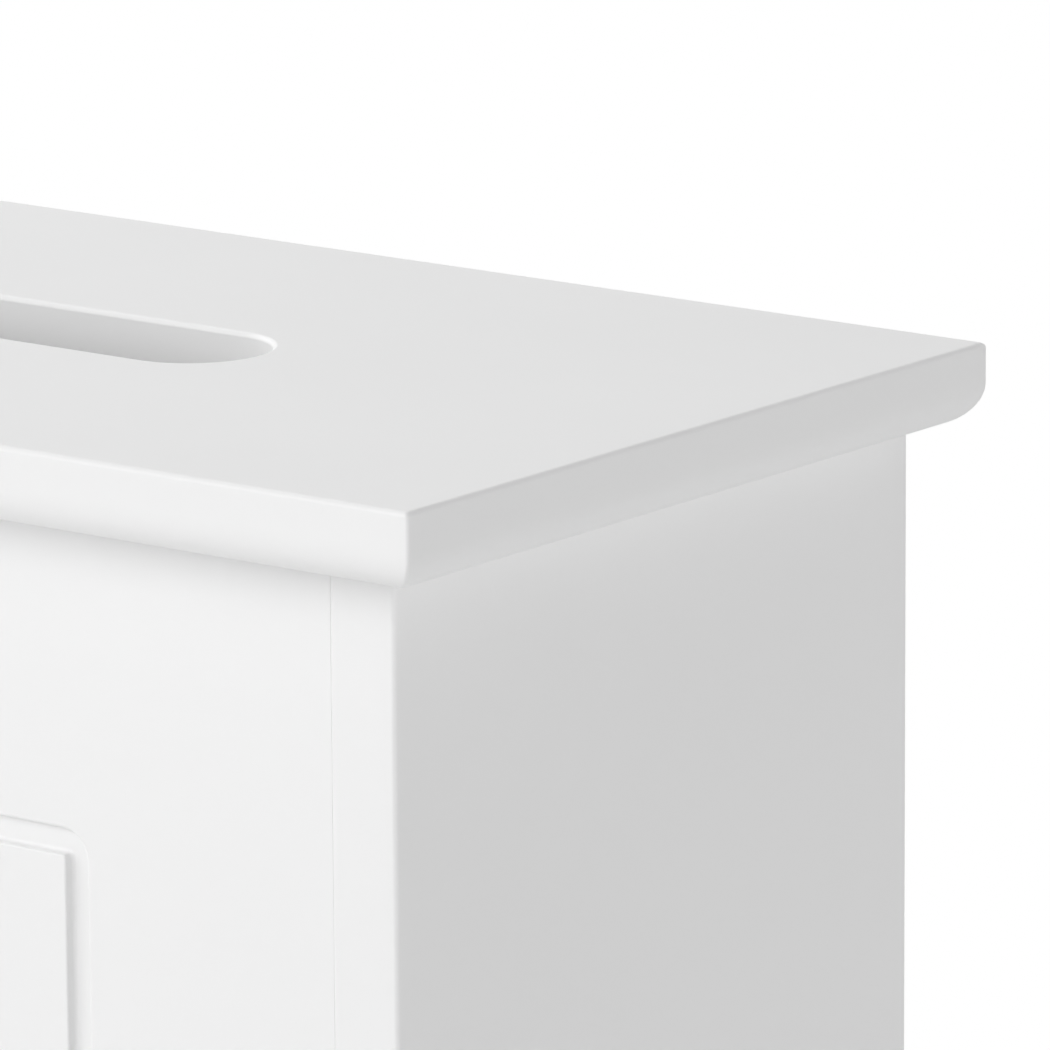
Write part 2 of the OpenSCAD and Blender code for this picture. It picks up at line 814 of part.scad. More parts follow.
// Section of the routed groove: X runs out from the raised panel, Y out of the door
module door_groove_section() {
    difference() {
        union() {
            translate([0, -door_groove_depth]) square([door_groove_w, door_groove_depth + past]);
            translate([door_groove_w, 0]) mirror([0, 1]) corner_waste(groove_rim_r);
            rotate(180) corner_waste(panel_ease_r);
        }
        translate([0, -door_groove_depth]) difference() {
            square(panel_cove_r);
            translate([panel_cove_r, panel_cove_r]) circle(panel_cove_r);
        }
    }
}

// The groove round the raised panel, drawn on z = 0 with the door's face up.
// Each pass makes one straight run and the corner where it ends
module door_groove() {
    r = panel_corner_r;
    w = panel_right - panel_left - 2 * r;
    h = panel_top - panel_bottom - 2 * r;
    translate([r, r, 0]) for (run = [[w, h, 0, h], [0, h, 90, w], [0, 0, 180, h], [w, 0, 270, w]]) {
        translate([run[0], run[1], 0]) rotate(run[2]) {
            rotate([90, 0, 0]) linear_extrude(run[3]) translate([r, 0]) door_groove_section();
            rotate_extrude(angle = 90) translate([r, 0]) door_groove_section();
        }
    }
}

module door() {
    color(paint) difference() {
        translate([0, 0, door_bottom]) linear_extrude(door_h) door_outline();
        translate([panel_left, door_front, panel_bottom]) rotate([90, 0, 0]) door_groove();
        leaf_pockets(door_left - past, door_left + leaf_pocket);
        at_hinge_screws() at_door_screw() csk_hole(hinge_screw_len);
        at_knob() translate([0, 0, -door_t - past])
            cylinder(h = door_t + 2 * past, r = knob_screw_r + snug_fit);
        at_strike_screw() csk_hole(strike_screw_len);
    }
}

// Places a part on the door's face at the knob, with +Z out of the face
module at_knob() {
    translate([knob_x, door_front, knob_height]) rotate([90, 0, 0]) children();
}

module knob() {
    rim_z = knob_out - knob_dome_h - knob_rim_t;
    color(steel) at_knob() difference() {
        union() {
            rotate_extrude() {
                square([knob_foot_r, knob_foot_t]);
                square([knob_neck_r, rim_z + past]);
                translate([0, rim_z]) outline(knob_r, knob_rim_t, [0, knob_rim_r, knob_rim_r, 0]);
            }
            translate([0, 0, rim_z + knob_rim_t]) dome(knob_r - knob_rim_r, knob_dome_h);
        }
        translate([0, 0, -past])
            cylinder(h = knob_screw_in + pocket_fit + past, r = knob_screw_r + snug_fit);
    }
}

module knob_screw() {
    color(steel) at_knob() mirror([0, 0, 1]) translate([0, 0, door_t])
        pan_screw(knob_screw_r, door_t + knob_screw_in, knob_screw_r * 2, knob_screw_r * 1.2);
}

// One leaf with its knuckles; side is -1 for the frame's leaf and 1 for the door's
module hinge_leaf(side, z) {
    first = side < 0 ? 0 : 1;
    color(steel) translate([pin_x, 0, z]) difference() {
        mirror([side < 0 ? 1 : 0, 0, 0]) union() {
            translate([leaf_gap / 2, leaf_start, 0]) cube([leaf_t, leaf_end - leaf_start, hinge_len]);
            for (k = [first:2:knuckles - 1]) {
                z0 = k == 0 ? 0 : k * knuckle_len + knuckle_gap / 2;
                z1 = k == knuckles - 1 ? hinge_len : (k + 1) * knuckle_len - knuckle_gap / 2;
                translate([leaf_gap / 2, pin_y, z0]) cube([leaf_t, leaf_start - pin_y, z1 - z0]);
                translate([0, pin_y, z0]) cylinder(h = z1 - z0, r = knuckle_r);
            }
        }
        translate([0, pin_y, -past]) cylinder(h = hinge_len + 2 * past, r = pin_r + running_fit);
        for (dz = [-0.5, 0.5]) {
            translate([side * leaf_gap / 2, case_front + hinge_screw_y,
                hinge_len / 2 + dz * hinge_screw_pitch])
                rotate([0, -90 * side, 0]) csk_hole(hinge_screw_len);
        }
    }
}

module hinge_frame_leaf_top() {
    hinge_leaf(-1, hinge_zs[1]);
}

module hinge_frame_leaf_bottom() {
    hinge_leaf(-1, hinge_zs[0]);
}

module hinge_door_leaf_top() {
    hinge_leaf(1, hinge_zs[1]);
}

module hinge_door_leaf_bottom() {
    hinge_leaf(1, hinge_zs[0]);
}

module hinge_pin(z) {
    color(steel) translate([pin_x, pin_y, z]) {
        cylinder(h = hinge_len, r = pin_r);
        translate([0, 0, hinge_len]) cylinder(h = pin_head_t, r = pin_head_r);
        translate([0, 0, -pin_head_t]) cylinder(h = pin_head_t, r = pin_head_r);
    }
}

module hinge_pin_top() {
    hinge_pin(hinge_zs[1]);
}

module hinge_pin_bottom() {
    hinge_pin(hinge_zs[0]);
}

// Places a part at the height and depth of each hinge screw
module at_hinge_screws() {
    for (z = hinge_zs, dz = [-0.5, 0.5]) {
        translate([pin_x, case_front + hinge_screw_y, z + hinge_len / 2 + dz * hinge_screw_pitch])
            children();
    }
}

module at_frame_screw() {
    translate([-leaf_gap / 2, 0, 0]) rotate([0, 90, 0]) children();
}

module at_door_screw() {
    translate([leaf_gap / 2, 0, 0]) rotate([0, -90, 0]) children();
}

module hinge_screws_frame() {
    color(steel) at_hinge_screws() at_frame_screw() csk_screw(hinge_screw_len);
}

module hinge_screws_door() {
    color(steel) at_hinge_screws() at_door_screw() csk_screw(hinge_screw_len);
}

// Places a part on the lower face of each ear of the catch, with +Z down
module at_catch_screws() {
    ear_x = (catch_len + catch_block_len) / 4;
    for (s = [-1, 1]) {
        translate([catch_x + s * ear_x, catch_front + catch_d / 2, divider_under - catch_ear_t])
            rotate([180, 0, 0]) children();
    }
}

module catch_housing() {
    room_t = magnet_t + 2 * pole_t + 2 * snug_fit;
    color(plastic) difference() {
        translate([catch_x, catch_front, divider_under]) mirror([0, 0, 1]) {
            translate([-catch_len / 2, 0, 0]) cube([catch_len, catch_d, catch_ear_t]);
            translate([-catch_block_len / 2, 0, 0]) cube([catch_block_len, catch_d, catch_h]);
        }
        translate([catch_x - magnet_len / 2 - snug_fit, catch_front - past, strike_z - room_t / 2])
            cube([magnet_len + 2 * snug_fit, magnet_set + magnet_d + magnet_room + past, room_t]);
        at_catch_screws() csk_hole(catch_screw_len);
    }
}

module catch_magnet() {
    color(dark) translate([catch_x - magnet_len / 2, magnet_front, strike_z - magnet_t / 2])
        cube([magnet_len, magnet_d, magnet_t]);
}

module catch_pole_plates() {
    color(steel) for (s = [0, 1]) {
        translate([catch_x - magnet_len / 2, pole_front, strike_z]) mirror([0, 0, s])
            translate([0, 0, magnet_t / 2]) cube([magnet_len, magnet_front + magnet_d - pole_front, pole_t]);
    }
}

module catch_screws() {
    color(steel) at_catch_screws() csk_screw(catch_screw_len);
}

// Places a part on the strike plate's face, with +Z towards the catch
module at_strike_screw() {
    translate([catch_x, door_back + strike_t, strike_z]) rotate([-90, 0, 0]) children();
}

module strike_plate() {
    color(steel) difference() {
        along_y(door_back, door_back + strike_t)
            translate([catch_x - strike_len / 2, strike_z - strike_h / 2])
            outline(strike_len, strike_h, strike_corner_r * [1, 1, 1, 1]);
        at_strike_screw() csk_hole(strike_screw_len);
    }
}

module strike_screw() {
    color(steel) at_strike_screw() csk_screw(strike_screw_len);
}

// Places a part on the lower face of a bracket's flange at each screw, with +Z down
module at_bracket_screws(s) {
    for (k = [-0.5, 0.5]) {
        translate([s * flange_screw_x, slot_y + k * bracket_screw_pitch, top_under - flange_t])
            rotate([180, 0, 0]) children();
    }
}

module roll_bracket(s) {
    boss_len = socket_depth + socket_wall;
    color(plastic) difference() {
        mirror([s < 0 ? 1 : 0, 0, 0]) translate([cheek_x, slot_y, 0]) {
            along_x(0, cheek_t) {
                polygon([
                    [-cheek_d / 2, top_under], [-cheek_r, spindle_z],
                    [cheek_r, spindle_z], [cheek_d / 2, top_under]
                ]);
                translate([0, spindle_z]) circle(cheek_r);
            }
            translate([0, 0, spindle_z]) rotate([0, 90, 0]) cylinder(h = boss_len, r = boss_r);
            translate([0, -cheek_d / 2, top_under - flange_t]) cube([flange_len, cheek_d, flange_t]);
            along_y(-rib_t / 2, rib_t / 2) polygon([
                [0, top_under - flange_t / 2], [flange_len, top_under - flange_t / 2],
                [flange_len, top_under - flange_t - rib_toe], [boss_len, spindle_z], [0, spindle_z]
            ]);
        }
        translate([s * (cheek_x - past), slot_y, spindle_z]) rotate([0, 90 * s, 0])
            cylinder(h = socket_depth + past, r = spindle_pin_r + running_fit);
        at_bracket_screws(s) csk_hole(bracket_screw_len);
    }
}

module roll_bracket_left() {
    roll_bracket(-1);
}

module roll_bracket_right() {
    roll_bracket(1);
}

module bracket_screws() {
    color(steel) for (s = [-1, 1]) at_bracket_screws(s) csk_screw(bracket_screw_len);
}

// Turns a part drawn along Z onto the spindle's axis, z = 0 in the middle of the box
module on_spindle() {
    translate([0, slot_y, spindle_z]) rotate([0, 90, 0]) children();
}

module spindle_tube() {
    lip_start = tube_mouth - lip_len;
    color(plastic) on_spindle() difference() {
        union() {
            translate([0, 0, -spindle_half]) cylinder(h = tube_len, r = tube_r);
            translate([0, 0, -spindle_half - spindle_pin_len])
                cylinder(h = spindle_pin_len + past, r = spindle_pin_r);
        }
        translate([0, 0, spring_start]) cylinder(h = lip_start - spring_start, r = tube_bore_r);
        translate([0, 0, lip_start - past])
            cylinder(h = lip_len + 2 * past, r = plunger_r + spindle_slide_fit);
    }
}

module spindle_plunger() {
    color(plastic) on_spindle() difference() {
        union() {
            translate([0, 0, plunger_start])
                cylinder(h = spindle_half - plunger_start, r = plunger_r);
            translate([0, 0, plunger_start])
                cylinder(h = collar_len, r = tube_bore_r - running_fit);
            translate([0, 0, spindle_half - past])
                cylinder(h = spindle_pin_len + past, r = spindle_pin_r);
        }
        translate([0, 0, plunger_start + tube_end_t])
            cylinder(h = spindle_half - plunger_start - 2 * tube_end_t, r = plunger_r - plunger_wall);
    }
}

// A ring of points round the wire, for one place along the coil
function wire_ring(t, sides, pitch) = [
    for (j = [0:sides - 1])
        let (a = 360 * t, b = 360 * j / sides, r = spring_r + spring_wire_r * cos(b))
        [r * cos(a), r * sin(a), pitch * t + spring_wire_r * sin(b)]
];

module spindle_spring() {
    sides = 6;
    steps = 16;
    seat = spring_wire_r + snug_fit;
    pitch = (plunger_start - spring_start - 2 * seat) / spring_turns;
    rings = spring_turns * steps;
    points = [for (i = [0:rings]) each wire_ring(i / steps, sides, pitch)];
    last = rings * sides;
    walls = [
        for (i = [0:rings - 1], j = [0:sides - 1])
            let (a = i * sides + j, b = i * sides + (j + 1) % sides)
            each [[a, b, b + sides], [a, b + sides, a + sides]]
    ];
    caps = [
        for (j = [1:sides - 2]) each [[0, j + 1, j], [last, last + j, last + j + 1]]
    ];
    color(steel) on_spindle() translate([0, 0, spring_start + seat])
        polyhedron(points = points, faces = concat(walls, caps));
}

module cams_top() {
    color(zinc) for (s = [-1, 1], y = cam_ys) at_top_joint(s, y) cam(side_t);
}

module cams_divider() {
    color(zinc) for (s = [-1, 1], y = cam_ys) {
        at_side_joint(s, y, divider_under + divider_t / 2) cam(divider_t);
    }
}

module cams_bottom() {
    color(zinc) for (s = [-1, 1], y = cam_ys) at_side_joint(s, y, base_h + bottom_t / 2) cam(bottom_t);
}

module cam_bolts_top() {
    color(steel) for (s = [-1, 1], y = cam_ys) at_top_joint(s, y) cam_bolt();
}

module cam_bolts_divider() {
    color(steel) for (s = [-1, 1], y = cam_ys) {
        at_side_joint(s, y, divider_under + divider_t / 2) cam_bolt();
    }
}

module cam_bolts_bottom() {
    color(steel) for (s = [-1, 1], y = cam_ys) at_side_joint(s, y, base_h + bottom_t / 2) cam_bolt();
}

module cam_covers() {
    color(plastic) for (s = [-1, 1], y = cam_ys) {
        at_top_joint(s, y) cam_cover(side_t);
        at_side_joint(s, y, divider_under + divider_t / 2) cam_cover(divider_t);
        at_side_joint(s, y, base_h + bottom_t / 2) cam_cover(bottom_t);
    }
}

module dowels_top() {
    color(beech) for (s = [-1, 1], y = dowel_ys) at_top_joint(s, y) dowel();
}

module dowels_divider() {
    color(beech) for (s = [-1, 1], y = dowel_ys) {
        at_side_joint(s, y, divider_under + divider_t / 2) dowel();
    }
}

module dowels_bottom() {
    color(beech) for (s = [-1, 1], y = dowel_ys) at_side_joint(s, y, base_h + bottom_t / 2) dowel();
}

module dowels_apron() {
    color(beech) for (s = [-1, 1]) at_apron_dowels(s) dowel();
}

// Places a part on the back panel's rear face at each of its screws, with +Z to the wall
module at_back_screws(z) {
    pitch = 2 * inner_half / back_screws;
    for (k = [0:back_screws - 1]) {
        translate([-inner_half + (k + 0.5) * pitch, back_rear, z]) rotate([-90, 0, 0]) children();
    }
}

module back_screw_room() {
    translate([0, 0, -back_screw_len - pocket_fit])
        cylinder(h = back_screw_len + pocket_fit + past, r = screw_r + snug_fit);
}

module back_panel_screws() {
    color(steel) for (z = [base_h + bottom_t / 2, divider_under + divider_t / 2]) {
        at_back_screws(z) pan_screw(screw_r, back_screw_len, pan_head_r, pan_head_h);
    }
}

top_board();
side_left();
side_right();
bottom_panel();
divider_shelf();
apron();
back_panel();
shelf_lower();
shelf_upper();
shelf_pegs();
foot_glides();
glide_nails();
door();
knob();
knob_screw();
hinge_frame_leaf_top();
hinge_frame_leaf_bottom();
hinge_door_leaf_top();
hinge_door_leaf_bottom();
hinge_pin_top();
hinge_pin_bottom();
hinge_screws_frame();
hinge_screws_door();
catch_housing();
catch_magnet();
catch_pole_plates();
catch_screws();
strike_plate();
strike_screw();
roll_bracket_left();
roll_bracket_right();
bracket_screws();
spindle_tube();
spindle_plunger();
spindle_spring();
cams_top();
cams_divider();
cams_bottom();
cam_bolts_top();
cam_bolts_divider();
cam_bolts_bottom();
cam_covers();
dowels_top();
dowels_divider();
dowels_bottom();
dowels_apron();
back_panel_screws();
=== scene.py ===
# Toilet paper storage box: white painted fibreboard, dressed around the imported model.
import json
import math

import bmesh
import bpy
from mathutils import Matrix, Vector


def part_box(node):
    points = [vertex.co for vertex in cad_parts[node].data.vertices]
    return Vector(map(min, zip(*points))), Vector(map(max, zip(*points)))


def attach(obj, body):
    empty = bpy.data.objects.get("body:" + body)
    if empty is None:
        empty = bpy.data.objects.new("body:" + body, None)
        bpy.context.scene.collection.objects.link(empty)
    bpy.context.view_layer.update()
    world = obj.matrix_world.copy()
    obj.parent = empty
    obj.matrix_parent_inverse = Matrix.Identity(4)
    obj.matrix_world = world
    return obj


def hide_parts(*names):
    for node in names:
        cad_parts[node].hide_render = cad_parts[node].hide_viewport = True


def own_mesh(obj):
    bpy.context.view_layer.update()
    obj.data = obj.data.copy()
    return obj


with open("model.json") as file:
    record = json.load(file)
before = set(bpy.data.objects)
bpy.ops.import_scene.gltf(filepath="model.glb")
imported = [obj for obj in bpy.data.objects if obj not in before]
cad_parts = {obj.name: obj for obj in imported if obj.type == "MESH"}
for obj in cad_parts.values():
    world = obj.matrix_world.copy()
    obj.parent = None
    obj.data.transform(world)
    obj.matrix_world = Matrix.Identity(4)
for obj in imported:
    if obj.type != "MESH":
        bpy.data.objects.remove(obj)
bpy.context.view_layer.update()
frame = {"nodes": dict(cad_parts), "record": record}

mm = 0.001
white = (1, 1, 1, 1)
nodes = frame["nodes"]
print("stage: frame loaded,", len(nodes), "CAD nodes")


# Small helpers

def linearColour(hexText):    # sRGB hex to the linear colour that a shader wants
    channels = []
    for k in (0, 2, 4):
        value = int(hexText[k:k + 2], 16) / 255
        channels.append(value / 12.92 if value <= 0.04045 else ((value + 0.055) / 1.055) ** 2.4)
    return (*channels, 1.0)


def addNode(tree, kind, settings=None, inputs=None):    # an input is a value or the socket that feeds it
    node = tree.nodes.new(kind)
    for name, value in (settings or {}).items():
        setattr(node, name, value)
    for name, value in (inputs or {}).items():
        if isinstance(value, bpy.types.NodeSocket):
            tree.links.new(value, node.inputs[name])
        else:
            node.inputs[name].default_value = value
    return node


def newObject(name, mesh):
    obj = bpy.data.objects.new(name, mesh)
    bpy.context.scene.collection.objects.link(obj)
    return obj


def bakeModifiers(obj):    # the evaluated shape becomes a plain mesh, and the modifiers go
    evaluated = obj.evaluated_get(bpy.context.evaluated_depsgraph_get())
    mesh = bpy.data.meshes.new_from_object(evaluated)
    obj.modifiers.clear()
    old = obj.data
    obj.data = mesh
    bpy.data.meshes.remove(old)


def placesOf(node, size):    # middles of the equal solids that stand at the corners of a group's box
    low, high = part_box(node)
    spans = []
    for axis in range(3):
        near = low[axis] + size[axis] / 2
        far = high[axis] - size[axis] / 2
        spans.append((near, far) if far - near > mm else ((near + far) / 2,))
    return [Vector((x, y, z)) for x in spans[0] for y in spans[1] for z in spans[2]]


# Camera, fitted to the straight edges of the photograph

camera = {
    "place": (1.28197, -1.51758, 1.06102),   # metres
    "yaw": 37.255,                           # degrees, turned left from +Y
    "pitch": 12.950,                         # degrees, looking down
    "roll": -0.349,
    "lens": 323.73,                          # mm
    "sensor": 36,                            # mm
    "nearest": 0.05,                         # metres, the range of distances that it shows
    "farthest": 50,
}


def makeCamera():
    yaw, pitch, roll = (math.radians(camera[k]) for k in ("yaw", "pitch", "roll"))
    right = Vector((math.cos(yaw), math.sin(yaw), 0))
    ahead = Vector((-math.sin(yaw), math.cos(yaw), 0))
    up = Vector((0, 0, 1))
    look = ahead * math.cos(pitch) - up * math.sin(pitch)
    top = up * math.cos(pitch) + ahead * math.sin(pitch)
    tiltedRight = right * math.cos(roll) + top * math.sin(roll)
    tiltedTop = -right * math.sin(roll) + top * math.cos(roll)
    data = bpy.data.cameras.new("photographView")
    data.sensor_width = camera["sensor"]
    data.lens = camera["lens"]
    data.clip_start = camera["nearest"]
    data.clip_end = camera["farthest"]
    obj = newObject("photographView", data)
    turn = Matrix((tiltedRight, tiltedTop, -look)).transposed().to_4x4()
    obj.matrix_world = Matrix.Translation(camera["place"]) @ turn
    bpy.context.scene.camera = obj


makeCamera()
print("stage: camera")


# Materials: sizes in mm. A noise drifts the colour and the gloss, and a finer one lifts the surface

noiseSpan = (0.3, 0.7)      # where nearly all of a noise's values lie
fleckSpan = (0.62, 0.7)     # the grain's values over which a fleck appears
driftDetail = 3
grainDetail = 2
bevelSamples = 4

surfaces = {
    # Medium density fibreboard, sanded and sprayed with satin acrylic paint: an even white whose
    # soft sheen lies over every eased edge, with the faint orange peel of the spray gun
    "satinPaintOnFibreboard": {
        "colour": "F3F3F3", "shade": "F0F0F0", "driftSize": 90,
        "grainSize": 1.6, "grainDepth": 0.006, "gloss": (0.40, 0.46), "ior": 1.49},
    # Thin hardboard faced with white foil: the pressed fibres show faintly through it
    "whiteFacedHardboard": {
        "colour": "EFEFEE", "shade": "EAEAE9", "driftSize": 3.5,
        "grainSize": 0.5, "grainDepth": 0.012, "gloss": (0.50, 0.60), "edge": 0.2},
    # Nickel plated over a fine blasted surface: warm, with a soft even shine
    "satinNickelPlate": {
        "colour": "CFCBC5", "shade": "C6C2BB", "driftSize": 6, "metallic": 1,
        "grainSize": 0.25, "grainDepth": 0.002, "gloss": (0.26, 0.36), "edge": 0.25},
    # Bright zinc plate: bluish, clouded by its passivation
    "zincPlatedSteel": {
        "colour": "C9CCCF", "shade": "BFC2BE", "driftSize": 2.5, "metallic": 1,
        "grainSize": 0.3, "grainDepth": 0.003, "gloss": (0.24, 0.42), "edge": 0.15},
    # Zinc as it leaves the die: duller, with a skin that is slightly rough
    "dieCastZinc": {
        "colour": "B0B0B2", "shade": "A2A2A4", "driftSize": 3, "metallic": 1,
        "grainSize": 0.6, "grainDepth": 0.015, "gloss": (0.40, 0.55), "edge": 0.25},
    # Injection moulded polypropylene: slightly waxy, with the fine spark eroded grain of its mould
    "mouldedPolypropylene": {
        "colour": "F1F1F0", "shade": "EDEDEC", "driftSize": 25,
        "grainSize": 0.45, "grainDepth": 0.010, "gloss": (0.36, 0.46), "ior": 1.49, "edge": 0.3},
    # Sintered ferrite, ground on its faces: dark grey, stony, hardly any shine
    "sinteredFerrite": {
        "colour": "2C2C2F", "shade": "232326", "driftSize": 0.5,
        "grainSize": 0.5, "grainDepth": 0.02, "gloss": (0.55, 0.70), "edge": 0.15},
    # Turned beech, unfinished: pale straight grain with short dark flecks along it
    "beechAlongX": {
        "colour": "DDBB8F", "shade": "CDA473", "driftSize": 1.2, "stretch": (0.05, 1, 1),
        "grainSize": 0.5, "grainDepth": 0.02, "gloss": (0.58, 0.66), "fleck": "A97C4E"},
}
surfaces["beechUpright"] = {**surfaces["beechAlongX"], "stretch": (1, 1, 0.05)}


def makeSurface(name, look):
    material = bpy.data.materials.new(name)
    material.use_nodes = True
    tree = material.node_tree
    tree.nodes.clear()
    coords = addNode(tree, "ShaderNodeTexCoord")
    place = addNode(tree, "ShaderNodeMapping", inputs={
        "Vector": coords.outputs["Object"], "Scale": look.get("stretch", (1, 1, 1))})
    drift = addNode(tree, "ShaderNodeTexNoise", inputs={
        "Vector": place.outputs["Vector"], "Scale": 1 / (look["driftSize"] * mm),
        "Detail": driftDetail})
    grain = addNode(tree, "ShaderNodeTexNoise", inputs={
        "Vector": place.outputs["Vector"], "Scale": 1 / (look["grainSize"] * mm),
        "Detail": grainDetail})
    colour = addNode(tree, "ShaderNodeMix", {"data_type": "RGBA"}, {
        0: drift.outputs["Fac"], 6: linearColour(look["colour"]), 7: linearColour(look["shade"])})
    if "fleck" in look:
        flecks = addNode(tree, "ShaderNodeMapRange", inputs={
            "Value": grain.outputs["Fac"], "From Min": fleckSpan[0], "From Max": fleckSpan[1]})
        colour = addNode(tree, "ShaderNodeMix", {"data_type": "RGBA"}, {
            0: flecks.outputs["Result"], 6: colour.outputs[2], 7: linearColour(look["fleck"])})
    gloss = addNode(tree, "ShaderNodeMapRange", inputs={
        "Value": drift.outputs["Fac"], "From Min": noiseSpan[0], "From Max": noiseSpan[1],
        "To Min": look["gloss"][0], "To Max": look["gloss"][1]})
    relief = addNode(tree, "ShaderNodeBump", inputs={
        "Height": grain.outputs["Fac"], "Distance": look["grainDepth"] * mm})
    if "edge" in look:    # softens the sharp edges of the CAD shape
        soft = addNode(tree, "ShaderNodeBevel", {"samples": bevelSamples}, {
            "Radius": look["edge"] * mm})
        tree.links.new(soft.outputs["Normal"], relief.inputs["Normal"])
    shader = addNode(tree, "ShaderNodeBsdfPrincipled", inputs={
        "Base Color": colour.outputs[2], "Metallic": look.get("metallic", 0),
        "Roughness": gloss.outputs["Result"], "IOR": look.get("ior", 1.5),
        "Normal": relief.outputs["Normal"]})
    addNode(tree, "ShaderNodeOutputMaterial", inputs={"Surface": shader.outputs["BSDF"]})
    return material


materials = {name: makeSurface(name, look) for name, look in surfaces.items()}
whitePaint = materials["satinPaintOnFibreboard"]
finishes = {                # the record's slot, and the finish that fills it
    "white_paint": "satinPaintOnFibreboard", "white_board": "whiteFacedHardboard",
    "satin_nickel": "satinNickelPlate", "zinc_steel": "zincPlatedSteel",
    "cam_zinc": "dieCastZinc", "white_plastic": "mouldedPolypropylene",
    "beech": "beechAlongX", "ferrite": "sinteredFerrite",
}
print("stage: materials")


# Meshes built ring by ring

sharpAngle = 40             # degrees between two faces, past which their edge stays sharp
drillSides = 32
past = 1 * mm               # how far a cutter starts outside the face that it enters


def quarterArc(radius, steps):    # (inset, depth) pairs, from (radius, 0) round to (0, radius)
    arc = []
    for k in range(steps + 1):
        angle = math.radians(90 * k / steps)
        arc.append((radius * (1 - math.sin(angle)), radius * (1 - math.cos(angle))))
    return arc


def roundedLoop(middle, half, radius, steps):    # counter-clockwise from the lower right corner
    points = []
    for signX, signY, start in ((1, -1, -90), (1, 1, 0), (-1, 1, 90), (-1, -1, 180)):
        for k in range(steps + 1):
            angle = math.radians(start + 90 * k / steps)
            points.append((
                middle[0] + signX * (half[0] - radius) + radius * math.cos(angle),
                middle[1] + signY * (half[1] - radius) + radius * math.sin(angle)))
    return points


def stadiumLoop(middle, endX, radius, steps):    # half-round ends, counter-clockwise
    points = []
    for sign, start in ((1, -90), (-1, 90)):
        for k in range(steps + 1):
            angle = math.radians(start + 180 * k / steps)
            points.append((middle[0] + sign * endX + radius * math.cos(angle),
                           middle[1] + radius * math.sin(angle)))
    return points


def addRings(bm, rings):    # joins rings of equal length with quads
    made = [[bm.verts.new(point) for point in ring] for ring in rings]
    for below, above in zip(made, made[1:]):
        for k in range(len(below)):
            n = (k + 1) % len(below)
            bm.faces.new((below[k], below[n], above[n], above[k]))
    return made


def fillBetween(bm, *loops):    # flat fill between an outer loop and the loops inside it
    edges = []
    for loop in loops:
        for k, vert in enumerate(loop):
            edges.append(bm.edges.get((vert, loop[(k + 1) % len(loop)])))
    bmesh.ops.triangle_fill(bm, use_beauty=True, use_dissolve=False, edges=edges)


def addDrill(bm, start, end, radius):    # a round cutter from one point to another
    way = end - start
    place = Matrix.Translation((start + end) / 2) @ way.to_track_quat("Z", "Y").to_matrix().to_4x4()
    bmesh.ops.create_cone(bm, cap_ends=True, segments=drillSides, radius1=radius, radius2=radius,
                          depth=way.length, matrix=place)


def addChisel(bm, low, high):    # a square cutter between two corners
    size = high - low
    place = Matrix.Translation((low + high) / 2) @ Matrix.Diagonal((*size, 1))
    bmesh.ops.create_cube(bm, size=1, matrix=place)


def meshOf(name, bm):
    bmesh.ops.recalc_face_normals(bm, faces=bm.faces[:])
    mesh = bpy.data.meshes.new(name)
    bm.to_mesh(mesh)
    bm.free()
    return mesh


def finishBoard(name, slab, cutters):    # cuts the bores and pockets out of a slab, and paints it
    board = newObject(name, meshOf(name, slab))
    tool = newObject(name + "Cutters", meshOf(name + "Cutters", cutters))
    cut = board.modifiers.new("boresAndPockets", "BOOLEAN")
    cut.operation = "DIFFERENCE"
    cut.solver = "EXACT"
    cut.object = tool
    bakeModifiers(board)
    bpy.data.objects.remove(tool)
    board.data.shade_smooth()
    board.data.set_sharp_from_angle(angle=math.radians(sharpAngle))
    board.data.materials.append(whitePaint)
    weighted = board.modifiers.new("flatFacesKeepTheirNormal", "WEIGHTED_NORMAL")
    weighted.mode = "FACE_AREA"
    weighted.weight = 100
    weighted.keep_sharp = True
    return board


# Top board: thick, square above, a wide round below, with the dispensing slot

topBoard = {                # mm
    "underRound": 9.15, "ease": 1.2, "corner": 0.7,
    "slotLength": 114.4, "slotWidth": 34, "slotFront": 82.2, "slotRim": 1.2, "slotUnder": 0.8,
    "roundSteps": 24, "easeSteps": 8, "cornerSteps": 8, "slotSteps": 48,
}
bores = {                   # mm, the bores in the underside and what sits in them
    "boltThread": 5.1, "boltDeep": 10.1, "boltHead": 6.2,
    "dowel": 8.1, "dowelDeep": 11.1,
    "screw": 3.1, "screwDeep": 12.1, "screwHead": 5.8,
}


